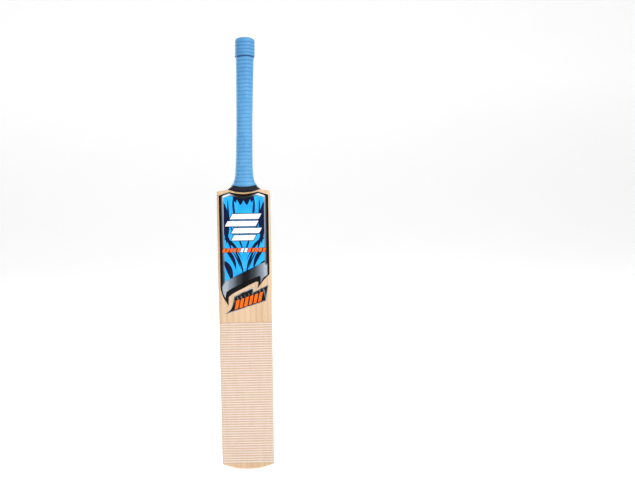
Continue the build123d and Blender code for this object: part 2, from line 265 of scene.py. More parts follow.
black = print_ink("ink_black", [(0.0, srgb(2, 2, 4)), (1.0, srgb(22, 20, 22))])
navy = print_ink("ink_navy", [(0.0, srgb(0, 2, 18)), (1.0, srgb(8, 30, 76))])
blue = print_ink(
    "ink_blue",
    [(0.0, srgb(22, 118, 214)), (0.5, srgb(36, 172, 250)), (1.0, srgb(80, 200, 255))],
)
silver = print_ink(
    "ink_silver",
    [(0.0, srgb(4, 4, 8)), (0.3, srgb(62, 66, 74)), (0.65, srgb(136, 146, 160)), (1.0, srgb(228, 232, 238))],
)
grey_ink = print_ink(
    "ink_grey",
    [(0.0, srgb(8, 6, 6)), (0.5, srgb(78, 76, 77)), (1.0, srgb(146, 146, 147))],
)
white = print_ink("ink_white", [(0.0, srgb(222, 226, 232)), (1.0, srgb(255, 255, 255))])
orange = print_ink("ink_orange", [(0.0, srgb(236, 82, 2)), (1.0, srgb(255, 126, 24))])
inks = {
    "black": black, "navy": navy, "blue": blue, "silver": silver,
    "grey": grey_ink, "white": white, "orange": orange,
}

# ---- plain CAD pieces -----------------------------------------------------------------------


def paint(node, material):
    mesh = nodes[node].data
    mesh.materials.clear()
    mesh.materials.append(material)


paint("blade", willow)
paint("binding_twine", twine_mat("twine"))
paint("face_tape", tape_mat)
spring_mat = black_rubber("spring_rubber")
for name in nodes:
    if name.startswith("cane_slat"):
        paint(name, cane)
    if name.startswith("rubber_spring"):
        paint(name, spring_mat)

# ---- mesh helpers ---------------------------------------------------------------------------


def new_piece(name, verts, faces, materials, cad_node, tones, face_mats=None):
    """Piece of the visual model that stands for one CAD node."""
    mesh = bpy.data.meshes.new(name)
    mesh.from_pydata([tuple(v) for v in verts], [], faces)
    for material in materials:
        mesh.materials.append(material)
    if face_mats:
        mesh.polygons.foreach_set("material_index", face_mats)
    mesh.polygons.foreach_set("use_smooth", [True] * len(mesh.polygons))
    tone = mesh.attributes.new("tone", "FLOAT", "POINT")
    tone.data.foreach_set("value", tones)
    mesh.validate()
    mesh.update()
    piece = bpy.data.objects.new(name, mesh)
    scene.collection.objects.link(piece)
    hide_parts(cad_node)
    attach(piece, "root")
    return piece


def smooth_between(stations, z):
    """Smooth value of each column of the stations at height z."""
    last = len(stations) - 1
    i = 0
    while i < last - 1 and z > stations[i + 1][0]:
        i += 1
    z0, z1 = stations[i][0], stations[i + 1][0]
    t = min(max((z - z0) / (z1 - z0), 0.0), 1.0)
    out = []
    for k in range(1, len(stations[0])):
        p1, p2 = stations[i][k], stations[i + 1][k]
        before, after = stations[max(i - 1, 0)], stations[min(i + 2, last)]
        m1 = (p2 - before[k]) / (z1 - before[0]) * (z1 - z0)
        m2 = (after[k] - p1) / (after[0] - z0) * (z1 - z0)
        t2, t3 = t * t, t * t * t
        out.append(
            (2 * t3 - 3 * t2 + 1) * p1 + (t3 - 2 * t2 + t) * m1 + (3 * t2 - 2 * t3) * p2 + (t3 - t2) * m2
        )
    return out


FACE_Y = -9.4  # striking face at the shoulder
AXIS_Z, AXIS_X, AXIS_BACK = 566.0, 1.5, 12.3  # foot of the handle axis; back is from the striking face
LEAN_SIDE, LEAN_FACE = math.tan(math.radians(1.35)), math.tan(math.radians(1.05))
HANDLE = [  # height, half width, half depth, shift of the centre toward the back
    (553.0, 37.8, 15.2, 3.4), (558.5, 36.0, 16.5, 1.9), (562.5, 33.8, 17.3, 1.0), (567.0, 29.0, 18.1, 0.2),
    (571.5, 25.2, 18.4, 0.0), (575.5, 22.8, 18.5, 0.0), (581.0, 20.6, 18.6, 0.0), (588.0, 19.2, 18.5, 0.0),
    (596.0, 18.3, 18.2, 0.0), (606.0, 17.7, 17.9, 0.0), (620.0, 17.3, 17.5, 0.0), (638.0, 17.0, 17.0, 0.0),
    (660.0, 16.8, 16.7, 0.0), (690.0, 16.5, 16.4, 0.0), (720.0, 16.7, 16.4, 0.0), (750.0, 17.0, 16.5, 0.0),
    (785.0, 17.4, 16.9, 0.0), (815.0, 18.0, 17.4, 0.0), (852.0, 18.3, 17.6, 0.0),
]
RIB = 7.4  # height of one rib of the grip
COLLAR_RIB = 6.6
GROOVE = 1.25  # width scale of the groove between ribs
ROUND = 112  # points round a sleeve


def axis_point(z):
    """Handle axis at height z: x, y."""
    rise = z - AXIS_Z
    return AXIS_X + rise * LEAN_SIDE, FACE_Y + AXIS_BACK - rise * LEAN_FACE


def ring_point(z, angle, extra):
    """Point of the grip's surface, moved out by extra."""
    a, b, shift = smooth_between(HANDLE, z)
    cx, cy = axis_point(z)
    return Vector((cx + (a + extra) * math.cos(angle), cy + shift + (b + extra) * math.sin(angle), z)) * MM


def wave_height(angle):
    """Height of the wavy line between the grip and the black band."""
    front, back = max(-math.sin(angle), 0.0), max(math.sin(angle), 0.0)
    return 571.0 - 3.5 * front**1.5 - 7.6 * back**1.3


def rib_relief(z, pitch, depth):
    """Relief of one rib: rounded top and a narrow groove, 0 at the crest."""
    phase = (z / pitch) % 1.0
    from_groove = min(phase, 1 - phase) * pitch
    return -depth * math.exp(-((from_groove / GROOVE) ** 2))


def tube(name, rows, segments, materials, cad_node, place, tone):
    """Sleeve, open at both ends, from rows of points; place(row, angle) gives a point."""
    verts, tones, faces = [], [], []
    for row in range(rows):
        for k in range(segments):
            angle = 2 * math.pi * k / segments
            verts.append(place(row, angle))
            tones.append(tone(row, angle))
    for row in range(rows - 1):
        for k in range(segments):
            a, b = row * segments + k, row * segments + (k + 1) % segments
            faces.append((a, b, b + segments, a + segments))
    return new_piece(name, verts, faces, materials, cad_node, tones)


def merged_surface(names):
    """Search tree over the meshes of several CAD nodes."""
    verts, faces = [], []
    for name in names:
        mesh = nodes[name].data
        start = len(verts)
        verts += [v.co.copy() for v in mesh.vertices]
        faces += [tuple(start + i for i in p.vertices) for p in mesh.polygons]
    return BVHTree.FromPolygons(verts, faces)


wooden = merged_surface(["blade"] + [n for n in nodes if n.startswith(("cane_slat", "rubber_spring"))])

# ---- grip, collar and black band -------------------------------------------------------------
GRIP_TOP = 851.5
COLLAR_LOW = 823.1
rows_up = 500


def grip_z(row, angle):
    low = wave_height(angle)
    return low + (GRIP_TOP - low) * min(max(row - 3, 0) / (rows_up - 1), 1.0)


def grip_relief(z, angle):
    wander = 0.35 * noise.noise((math.cos(angle) * 2, math.sin(angle) * 2, z * 0.02))
    relief = rib_relief(z + wander, RIB, 0.75)
    lip = 0.5 * math.exp(-(((z - wave_height(angle) - 1.2) / 1.4) ** 2))
    return 0.75 * relief + lip


def grip_place(row, angle):
    z = grip_z(row, angle)
    if row < 3:
        return ring_point(z + 0.01, angle, (-2.0, -0.9, -0.2)[row])
    return ring_point(z, angle, grip_relief(z, angle))


def grip_tone(row, angle):
    z = grip_z(row, angle)
    lean = COLLAR_LOW + 0.42 * math.cos(angle) - 0.33 * math.sin(angle)
    # painted shadow: a dark band on the grip just under the collar's rim
    shade = 0.85 * math.exp(-(((z - lean + 0.6) / 1.9) ** 2))
    strength = 0.36 + 0.14 * noise.noise((math.cos(angle), math.sin(angle), z * 0.03))
    # painted shade in the rib grooves; the tone is also darker towards the top
    return max(1.0 - 0.12 * min(max((z - 730) / 80, 0), 1) + rib_relief(z, RIB, strength) - shade, 0.0)


tube("grip_sleeve", rows_up + 3, ROUND, [rubber_blue], "grip", grip_place, grip_tone)

up_axis = Vector((LEAN_SIDE, -LEAN_FACE, 1)).normalized()
side_axis = Vector((0, 1, 0)).cross(up_axis).normalized()
back_axis = up_axis.cross(side_axis).normalized()
foot = Vector((*axis_point(COLLAR_LOW), COLLAR_LOW))

# radius and height: rolled foot, ribbed wall, rounded shoulder, shallow dome
COLLAR_WALL = 30.0
WALL_ROWS = 70
collar_profile = [(17.6, 2.2), (17.7, 0.9), (18.3, 0.15), (19.4, 0.0), (20.05, 0.5)]
for step in range(1, WALL_ROWS):
    height = 0.5 + step * (COLLAR_WALL - 0.5) / WALL_ROWS
    rib = rib_relief(height + 1.2, COLLAR_RIB, 0.6)
    collar_profile.append((20.15 - 0.25 * height / COLLAR_WALL + rib, height))
for step in range(0, 15):
    turn = math.radians(90 * step / 14)
    collar_profile.append((13.2 + 6.6 * math.cos(turn), COLLAR_WALL + 5.3 * math.sin(turn)))
for radius in (11.0, 8.0, 5.0, 2.5, 0.6, 0.05):
    collar_profile.append((radius, 35.3 + 1.4 * (1 - (radius / 13.2) ** 2)))


def collar_place(row, angle):
    radius, height = collar_profile[row]
    spread = side_axis * (radius * math.cos(angle)) + back_axis * (radius * math.sin(angle))
    return (foot + up_axis * height + spread) * MM


def collar_tone(row, angle):
    radius, height = collar_profile[row]
    # painted shadow: the rolled foot under the collar is dark
    if row < 4:
        return 0.15
    # painted shade in the rib grooves of the wall
    return 0.82 + rib_relief(height + 1.2, COLLAR_RIB, 0.34) if height < COLLAR_WALL else 0.8


tube(
    "grip_collar_ring", len(collar_profile), ROUND, [rubber_blue], "grip_collar",
    collar_place, collar_tone,
)

BAND = [  # height, half width, front depth, back depth, front squareness, back squareness
    (549.0, 33.0, 14.8, 16.8, 9.0, 2.5), (556.0, 33.0, 15.2, 16.8, 9.0, 2.4),
    (562.0, 32.6, 16.2, 16.8, 7.0, 2.2), (564.5, 30.6, 17.0, 17.2, 4.0, 2.1),
    (567.5, 27.6, 17.8, 17.8, 2.6, 2.0), (571.5, 25.2, 18.4, 18.4, 2.0, 2.0),
    (576.0, 22.8, 18.5, 18.5, 2.0, 2.0),
]
band_rows = 44


def band_low(angle):
    """Lower edge: an arc on the face, a shallow dip over the ridge at the back."""
    across = abs(math.cos(angle))
    if math.sin(angle) < 0:
        return 555.6 + 6.9 * across ** (2 / 9 * 2)
    return 553.8 + 7.8 * across ** 2.6


def band_point(z, angle, extra):
    half, front, back, square_front, square_back = smooth_between(BAND, z)
    depth, square = (front, square_front) if math.sin(angle) < 0 else (back, square_back)
    cx, cy = axis_point(z)
    along, deep = math.cos(angle), math.sin(angle)
    x = (half + extra) * math.copysign(abs(along) ** (2 / square), along)
    y = (depth + extra) * math.copysign(abs(deep) ** (2 / square), deep)
    return Vector((cx + x, cy + 1.9 * min(max((571 - z) / 9, 0), 1) + y, z)) * MM


def band_place(row, angle):
    low, top = band_low(angle), wave_height(angle) + 0.6
    z = low + (top - low) * min(max(row - 2, 0) / (band_rows - 3), 1.0)
    lap = 0.2 if (z + 1.8 * angle / math.pi) % 3.6 > 1.8 else 0.0
    tuck = (-7.0, -0.5, 0.0)[min(row, 2)] - (0.9 if row == band_rows - 1 else 0.0)
    point = band_point(z + (0.35, 0.0, 0.0)[min(row, 2)], angle, lap + tuck)
    if row == 0 or z > 566:
        return point
    out = -1 if math.sin(angle) < 0 else 1
    reach = []
    for below in (0, 0.0008, 0.0016, 0.0026):
        hit = wooden.ray_cast(Vector((point.x, 0.2 * out, point.z - below)), Vector((0, -out, 0)))[0]
        if hit:
            reach.append(out * hit.y + 0.0009 + lap * MM)
    if reach and (z < 561 or max(reach) > out * point.y):
        point.y += (out * max(reach) - point.y) * min((566.5 - z) / 2.5, 1.0)
    return point


tube(
    "shoulder_band_wrap", band_rows, 220, [cloth_black], "shoulder_band",
    band_place, lambda row, angle: 0.5,
)

# ---- printed labels --------------------------------------------------------------------------


AIM = {
    "face": lambda u, v: (Vector((u, -200, v)), Vector((0, 1, 0))),
    "back": lambda u, v: (Vector((u, 200, v)), Vector((0, -1, 0))),
    "right": lambda u, v: (Vector((200, u, v)), Vector((-1, 0, 0))),
    "left": lambda u, v: (Vector((-200, u, v)), Vector((1, 0, 0))),
}


LIFT = 0.27  # height of a label above the wood
TOE_LIFT, TOE_CREST = 0.3, 14  # further lift below this height, where the toe's back turns in
SKIRT_GAP = 0.03  # left under the border of a label
INK_STEP = 2.2  # longest edge along an outline
RIDGE_HALF = 12  # the grid is twice as fine this near the ridge


def on_wood(side, u, v, lift):
    """Point above the wood, lift millimetres out, met from one side of the bat."""
    start, way = AIM[side](u, v)
    place = wooden.ray_cast(start * MM, way)[0]
    if place is None:
        place = wooden.find_nearest((start + way * 190) * MM)[0]
    return place - way * (lift * MM)


CURVE_STEP = 1.6


def curve(points):
    """Smooth line through the points, corners kept at its two ends."""
    if len(points) < 3:
        return [Vector(p) for p in points]
    out = []
    last = len(points) - 1
    for i in range(last):
        p0, p1, p2, p3 = (Vector(points[k]) for k in (max(i - 1, 0), i, i + 1, min(i + 2, last)))
        count = max(2, int((p2 - p1).length / CURVE_STEP))
        for k in range(count):
            t = k / count
            out.append(
                0.5 * ((2 * p1) + (p2 - p0) * t + (2 * p0 - 5 * p1 + 4 * p2 - p3) * t * t
                       + (3 * p1 - p0 - 3 * p2 + p3) * t**3)
            )
    out.append(Vector(points[last]))
    return out


def outline(*runs):
    """Closed outline from runs of points; each run is smooth and runs meet in corners."""
    out = []
    for run in runs:
        for p in curve(run):
            if not out or (p - out[-1]).length > 0.05:
                out.append(p)
    if (out[0] - out[-1]).length < 0.05:
        out.pop()
    return out


def mirrored(points):
    """The loop mirrored left to right, walked the same way round."""
    return [Vector((-p[0], p[1])) for p in reversed(points)]


def inside(p, loop):
    """Whether a point lies within a closed loop."""
    hit = False
    for i in range(len(loop)):
        a, b = loop[i - 1], loop[i]
        if (a[1] > p[1]) != (b[1] > p[1]) and p[0] < (b[0] - a[0]) * (p[1] - a[1]) / (b[1] - a[1]) + a[0]:
            hit = not hit
    return hit


def leaf(x0, z0, x1, z1, width, bend=0.0):
    """Pointed leaf-like stroke from one end to the other, bent sideways."""
    a, b = Vector((x0, z0)), Vector((x1, z1))
    along = b - a
    across = Vector((-along.y, along.x)).normalized()
    left, right = [], []
    for k in range(13):
        t = k / 12
        middle = a + along * t + across * (bend * 4 * t * (1 - t))
        half = width / 2 * math.sin(math.pi * t**0.8) ** 0.9
        left.append(middle + across * half)
        right.append(middle - across * half)
    return left + right[-2:0:-1]


def bar(cx, cz, width, height, slant):
    """Slanted block; a generic stand-in where lettering would be."""
    lean = height / 2 * math.tan(math.radians(slant))
    return [
        Vector((cx - width / 2 - lean, cz - height / 2)), Vector((cx + width / 2 - lean, cz - height / 2)),
        Vector((cx + width / 2 + lean, cz + height / 2)), Vector((cx - width / 2 + lean, cz + height / 2)),
    ]


def label(name, cad_node, side, edge, layers, tone, spacing=(2.6, 3.4)):
    """Sticker film cut to an outline, with ink regions as faces of their own."""
    points, edges = [], []
    for loop in [edge] + [layer[1] for layer in layers]:
        first = len(points)
        for i, p in enumerate(loop):
            following = loop[(i + 1) % len(loop)]
            a, b = Vector((p[0], p[1])), Vector((following[0], following[1]))
            pieces = max(1, round((b - a).length / INK_STEP))
            points += [a.lerp(b, k / pieces) for k in range(pieces)]
        count = len(points) - first
        edges += [(first + i, first + (i + 1) % count) for i in range(count)]
    us, vs = [p[0] for p in edge], [p[1] for p in edge]
    du, dv = spacing
    v = min(vs) + dv / 2
    while v < max(vs):
        u = min(us) + du / 2
        while u < max(us):
            if inside((u, v), edge):
                points.append(Vector((u, v)))
            u += du / 2 if side == "back" and abs(u) <= RIDGE_HALF else du
        v += dv
    flat, _, triangles, _, _, _ = delaunay_2d_cdt(points, edges, [], 0, 0.01)
    names = ["black"] + sorted({layer[0] for layer in layers} - {"black"})
    kept, face_mats = [], []
    boxes = []
    for ink, loop, *clip in layers:
        us, vs = [p[0] for p in loop], [p[1] for p in loop]
        boxes.append((ink, loop, clip, min(us), max(us), min(vs), max(vs)))
    for tri in triangles:
        centre = (flat[tri[0]] + flat[tri[1]] + flat[tri[2]]) / 3
        if not inside(centre, edge):
            continue
        ink_here = "black"
        for ink, loop, clip, u0, u1, v0, v1 in boxes:
            if u0 <= centre.x <= u1 and v0 <= centre.y <= v1 and inside(centre, loop):
                if not clip or inside(centre, clip[0]):
                    ink_here = ink
        kept.append(tuple(tri))
        face_mats.append(names.index(ink_here))
    used = sorted({i for tri in kept for i in tri})
    place_of = {old: new for new, old in enumerate(used)}
    lifts = [LIFT + (TOE_LIFT if flat[i].y < TOE_CREST else 0.0) for i in used]
    verts = [on_wood(side, flat[i].x, flat[i].y, lift) for i, lift in zip(used, lifts)]
    tones = [min(max(tone(flat[i].x, flat[i].y), 0.0), 1.0) for i in used]
    faces = [tuple(place_of[i] for i in tri) for tri in kept]
    start, way = AIM[side](0, 0)
    a, b, c = (verts[i] for i in faces[0])
    if (b - a).cross(c - a).dot(way) > 0:
        faces = [tuple(reversed(f)) for f in faces]
    sides = {(f[i], f[(i + 1) % 3]) for f in faces for i in range(3)}
    rim = sorted(key for key in sides if (key[1], key[0]) not in sides)
    low = {}
    for a, b in rim:
        for i in (a, b):
            if i not in low:
                low[i] = len(verts)
                verts.append(verts[i] + way * ((lifts[i] - SKIRT_GAP) * MM))
                tones.append(tones[i])
    for a, b in rim:
        faces.append((b, a, low[a], low[b]))
        face_mats.append(0)
    return new_piece(
        name, verts, faces, [inks[n] for n in names], cad_node, tones, face_mats
    )


def both(layers):
    """The layers and their mirror images."""
    return layers + [(ink, mirrored(loop), *clip) for ink, loop, *clip in layers]


def shards(panel, half, high, low):
    """Generic symmetrical pattern of dark pointed strokes on a bright panel."""
    tall = high - low
    strokes = [  # start, end, width, bend; across as a share of half, up as a share of the height
        (1.05, 0.96, 0.88, 0.42, 15.0, -2.0), (1.04, 0.60, 0.66, 0.34, 6.0, -2.0),
        (0.50, 1.02, 0.34, 0.66, 4.4, 3.0), (0.78, 0.98, 0.66, 0.62, 3.2, 2.0),
        (0.92, 0.84, 0.56, 0.52, 3.0, -2.0),
        (1.04, 0.50, 0.26, 0.30, 6.4, -4.0), (0.84, 0.46, 0.10, 0.22, 2.4, -3.0),
        (1.02, 0.38, 0.44, 0.10, 8.4, -5.0), (0.62, 0.34, 0.20, 0.10, 2.6, -2.0),
        (0.55, 0.38, 0.04, 0.00, 4.8, -3.0), (1.04, 0.22, 0.66, -0.06, 12.0, -4.0),
        (0.34, 0.66, 0.06, 0.46, 2.8, 2.0), (0.30, 0.50, 0.04, 0.30, 3.4, -1.0),
    ]
    out = []
    for x0, z0, x1, z1, width, bend in strokes:
        stroke = leaf(x0 * half, low + z0 * tall, x1 * half, low + z1 * tall, width, bend)
        out.append(("navy", stroke, panel))
    return both(out)


# upper face label
face_edge = outline(
    [(-29, 557), (-14, 554), (0, 552.5), (14, 554), (29, 557)],
    [(29, 557), (49.5, 550.5)], [(49.5, 550.5), (49.5, 391)],
    [(49.5, 391), (37, 378.5), (24.6, 362.2)], [(24.6, 362.2), (26.8, 374.5)],
    [(26.8, 374.5), (22.5, 376.5), (-2, 364.5), (-25, 353), (-33.3, 346)],
    [(-33.3, 346), (-34, 329)], [(-34, 329), (-44, 346), (-49.5, 363)], [(-49.5, 363), (-49.5, 550.5)],
    [(-49.5, 550.5), (-29, 557)],
)
face_silver = outline(
    [(-29, 554.2), (-14, 550), (0, 548.4), (14, 550), (29, 554.2)],
    [(29, 554.2), (45.3, 548.4)], [(45.3, 548.4), (45.3, 390)],
    [(45.3, 390), (37, 384), (31, 373.5)], [(31, 373.5), (31.6, 384), (29, 388.5)],
    [(29, 388.5), (0, 376), (-29, 362.5), (-38.2, 356)], [(-38.2, 356), (-39.8, 344.5)],
    [(-39.8, 344.5), (-44, 353), (-45.5, 362)], [(-45.5, 362), (-45.5, 548.4)],
    [(-45.5, 548.4), (-29, 554.2)],
)
face_panel = outline(
    [(-28, 550.4), (-14, 546), (0, 543.5), (14, 546), (28, 550.4)],
    [(28, 550.4), (40.8, 546)], [(40.8, 546), (40.8, 416)], [(40.8, 416), (-41, 377.3)],
    [(-41, 377.3), (-40.2, 546)], [(-40.2, 546), (-28, 550.4)],
)
face_bright = [Vector((p.x * 0.985, 460 + (p.y - 460) * 0.99)) for p in face_panel]
face_layers = [("silver", face_silver), ("navy", face_panel), ("blue", face_bright)]
face_layers += shards(face_bright, 40, 546, 385)
face_layers.append(("navy", outline(
    [(-23, 552), (23, 552)], [(23, 552), (17, 536), (13, 542)], [(13, 542), (6.5, 531), (0, 540)],
    [(0, 540), (-6.5, 531), (-13, 542)], [(-13, 542), (-17, 536), (-23, 552)]), face_bright))
for cx, cz, width in ((3.5, 508, 58), (-4.5, 493.8, 62), (5.0, 479.6, 56), (-1.0, 465.4, 44)):
    face_layers.append(("navy", bar(cx, cz, width + 3.2, 13.4, 28)))
    face_layers.append(("white", bar(cx, cz, width, 10.4, 28)))
for k in range(12):
    across = -41 + k * 7.35
    face_layers.append(("black", bar(across, 440.5, 6.6, 9.4, 18)))
    face_layers.append(("white" if k in (5, 6) else "orange", bar(across, 440.5, 5.2, 8.0, 18)))


def face_tone(u, v):
    """Mottled inside the panel; light and dark runs along the silver rails round it."""
    if inside((u * 1.025, 460 + (v - 460) * 1.015), face_panel):
        return 0.5 + 0.25 * noise.noise((u * 0.07, v * 0.05, 3.0))
    if abs(u) < 40.9 and v > 540:
        return 0.08 + 0.86 * math.exp(-((max(31 - abs(u), 0) / 11) ** 2))
    if abs(u) >= 40.9 and v > 392 + 0.47 * u:
        rail = min((abs(u) - 40.9) / 4.6, 1.0)
        return (0.92 - 0.84 * rail) * (0.74 + 0.26 * math.cos((v - 548) / 52))
    return 0.02 + 0.72 * min(max(abs(u - 2) - 4, 0) / 34, 1.0) ** 1.1


label("face_label_print", "face_label", "face", face_edge, face_layers, face_tone)

# lower face label
low_edge = outline(
    [(-22.4, 347.7), (16.6, 365.7)], [(16.6, 365.7), (16, 355)], [(16, 355), (46.3, 370)],
    [(46.3, 370), (41.2, 337.5)], [(41.2, 337.5), (-41, 312)],
    [(-41, 312), (-32.3, 319), (-26, 329)], [(-26, 329), (-22.4, 347.7)],
)
low_inner = outline(
    [(-21.2, 346), (15.4, 363)], [(15.4, 363), (14.8, 353)], [(14.8, 353), (44.6, 367.4)],
    [(44.6, 367.4), (40.2, 338.6)], [(40.2, 338.6), (-36, 315)],
    [(-36, 315), (-30.6, 320), (-25, 330)], [(-25, 330), (-21.2, 346)],
)
low_layers = [("silver", low_edge), ("black", low_inner)]
for k in range(9):
    fleck = leaf(-24 + 7.4 * k, 344 + 2.6 * k, -19 + 7.4 * k, 318 + 2.8 * k, 3.6, 1.5)
    low_layers.append(("grey", fleck, low_inner))
for ink, width, height in (("black", 9.0, 20.0), ("orange", 6.6, 17.4)):
    for k in range(6):
        cx = -16.6 + 9.4 * k
        block = bar(cx, 331 + 2.95 * k, width, height, 12)
        low_layers.append((ink, [Vector((p.x, p.y + 0.32 * (p.x - cx))) for p in block]))
label(
    "face_label_lower_print", "face_label_lower", "face", low_edge, low_layers,
    lambda u, v: 0.55 + 0.4 * noise.noise((u * 0.12, v * 0.12, 7.0)),
)

# back label
back_edge = outline(
    [(-28.7, 557), (-14, 556), (0, 555.6), (14, 556), (28.7, 557)],
    [(28.7, 557), (48.8, 549)], [(48.8, 549), (48.8, 351)],
    [(48.8, 351), (36, 325), (22, 297.5)],
    [(22, 297.5), (15.5, 324), (0, 340.5), (-15.5, 324), (-22, 297.5)],
    [(-22, 297.5), (-36, 325), (-48.8, 351)], [(-48.8, 351), (-48.8, 549)], [(-48.8, 549), (-28.7, 557)],
)
half_silver = [
    [(46.3, 548.5), (46.5, 470), (46, 410), (41.5, 378), (33, 345), (24, 322.5)],
    [(24, 322.5), (18, 335), (9, 343), (0, 346)],
]


def flipped(run):
    """The run mirrored left to right and walked the other way."""
    return [(-x, z) for x, z in reversed(run)]


back_silver = outline(
    [(-46.3, 548.5), (-38, 551.5)], [(-38, 551.5), (0, 558)], [(0, 558), (38, 551.5)],
    [(38, 551.5), (46.3, 548.5)],
    *half_silver, flipped(half_silver[1]), flipped(half_silver[0]),
)
panel_half = [(38.5, 553), (37.3, 510), (34.6, 477), (30.6, 442), (25, 413), (14, 379), (0, 361)]
back_panel = outline(
    [(-29, 558), (0, 557), (29, 558)], [(29, 558), (38.5, 553)],
    panel_half, flipped(panel_half), [(-38.5, 553), (-29, 558)],
)
back_inner = [Vector((p.x * 0.965, 455 + (p.y - 455) * 0.99)) for p in back_panel]
back_layers = [("silver", back_silver), ("navy", back_panel), ("blue", back_inner)]
back_layers += both([(ink, loop, back_inner) for ink, loop in [
    ("navy", leaf(39, 540, 25, 428, 18, -2)),
    ("navy", leaf(29, 540, 25, 496, 3.0, 2)),
    ("navy", leaf(20, 556, 15, 470, 4.6, 3)),
    ("navy", leaf(33, 482, 13, 452, 3.6, -3)),
    ("navy", leaf(36, 466, 11, 434, 6.0, -3)),
    ("navy", leaf(27, 450, 12, 424, 2.6, -2)),
    ("navy", leaf(31, 436, 9, 404, 6.4, -3)),
    ("navy", leaf(23, 424, 10, 398, 2.4, -2)),
    ("navy", leaf(26, 412, 6, 380, 6.4, -2)),
    ("navy", leaf(20, 392, 2, 362, 9.0, -1)),
]])
back_layers.append(("navy", outline(
    [(-25, 557), (25, 557)], [(25, 557), (16, 541), (11, 547)], [(11, 547), (0, 537), (-11, 547)],
    [(-11, 547), (-16, 541), (-25, 557)]), back_inner))


def column_block(cz, width, height):
    """One slanted block of the column that runs down the ridge."""
    return [Vector((p.x - 1.5, p.y - 0.34 * p.x)) for p in bar(0, cz, width, height, 0)]


for ink, width, height in (("silver", 26.4, 17.2), ("navy", 24.0, 15.4), ("white", 19.0, 10.6)):
    for k in range(12):
        slab = [p + Vector((1.5 - 3.0 * (k % 2), 0)) for p in column_block(531 - 14.3 * k, width, height)]
        back_layers.append(("orange" if ink == "white" and k in (4, 5) else ink, slab))


silver_limits = [
    (300.0, 19.0, 26.0), (322.5, 17.0, 30.0), (345.0, 8.0, 38.0), (378.0, 13.0, 44.0),
    (413.0, 25.0, 46.5), (442.0, 30.6, 46.8), (477.0, 34.6, 47.0), (560.0, 38.5, 47.0),
]


def back_tone(u, v):
    if inside((u * 1.03, v), back_panel):
        return 0.5 + 0.25 * noise.noise((u * 0.07, v * 0.05, 11.0))
    inner, outer = smooth_between(silver_limits, v)
    share = min(max((abs(u) - inner) / max(outer - inner, 4.0), 0.0), 1.0)
    middle = min(max((abs(u) - 5) / 21, 0.0), 1.0)
    fade = min(max((412 - v) / 34, 0.0), 1.0)
    return (0.88 - 0.68 * share**1.6) * (1 - fade * (1 - middle * middle * (3 - 2 * middle)))


label("back_label_print", "back_label", "back", back_edge, back_layers, back_tone)

# flames beside the ridge, as plain swept shapes with a generic pattern


FLAME_MIDDLE = [  # height, distance of the flame's middle from the ridge
    (88.0, 38.0), (118.0, 37.0), (139.0, 31.0), (171.0, 19.0), (195.0, 15.0), (229.0, 20.0), (320.0, 30.0),
]


def flame_tone(u, v):
    """Grey fades to black at both rims of the swept tail."""
    middle = smooth_between(FLAME_MIDDLE, v)[0]
    return 0.66 - min(abs(u - middle) / 10, 1.0) ** 1.3 * 0.62 - 0.3 * min(max((124 - v) / 20, 0.0), 1.0)


for side, word in ((1, "right"), (-1, "left")):
    outer = [(45, 318.5), (45, 288), (41, 262), (30.5, 224), (25.5, 196), (30, 165), (39.5, 132), (38, 88.5)]
    inner = [(38, 88.5), (35, 118), (25.5, 139), (8, 171), (5.2, 195), (12, 229), (20, 260), (16.5, 280)]
    flame_edge = outline(outer, inner, [(16.5, 280), (32, 295.5), (45, 318.5)])
    inked = [
        ("grey", outline(
            [(20, 250), (13, 225), (7.2, 195), (10, 172), (24, 148), (34, 128), (38, 100)],
            [(38, 100), (38, 130), (28.5, 164), (24, 196), (30, 226), (36, 246)], [(36, 246), (20, 250)])),
        ("blue", leaf(44, 314, 35, 278, 5.0, 3)),
        ("blue", leaf(37, 303, 25, 268, 5.6, 2)),
        ("blue", leaf(23, 290, 19, 276, 5.0, 1)),
        ("blue", leaf(43, 286, 28, 263, 2.4, -3)),
        ("black", leaf(33, 290, 30, 276, 1.6, 1)),
        ("blue", outline(
            [(39.5, 264), (33, 262), (22, 262), (16, 236), (11, 212), (9.8, 190), (12, 172)],
            [(12, 172), (15, 196), (24, 222), (35, 244), (39.5, 264)])),
        ("navy", leaf(38, 262, 27, 238, 4.0, 1)),
        ("navy", leaf(25, 262, 15, 226, 4.2, 2)),
        ("navy", leaf(31, 244, 22, 222, 2.2, 1)),
        ("navy", leaf(24, 232, 15, 202, 3.4, 1)),
        ("navy", leaf(19, 214, 12.5, 186, 2.2, 1)),
        ("navy", outline(
            [(38.5, 252), (30.5, 224), (21, 197), (19.6, 182), (24.5, 160)],
            [(24.5, 160), (14.4, 178), (14.2, 197), (23.9, 224), (36.5, 254)], [(36.5, 254), (38.5, 252)])),
        ("orange", outline(
            [(38.5, 252), (30.5, 224), (21, 197), (19.6, 182), (24.5, 160)],
            [(24.5, 160), (15.4, 178), (15.2, 197), (25, 224), (38.5, 252)])),
    ]
    layers = [(ink, loop, flame_edge) for ink, loop in inked]
    if side < 0:
        flame_edge = mirrored(flame_edge)
        layers = [(ink, mirrored(loop), mirrored(clip)) for ink, loop, clip in layers]
    label(
        f"back_flame_{word}_print", f"back_flame_{word}", "back", flame_edge, layers,
        lambda u, v: flame_tone(abs(u), v) + 0.12 * noise.noise((u * 0.1, v * 0.08, 5.0)),
        spacing=(2.2, 3.0),
    )

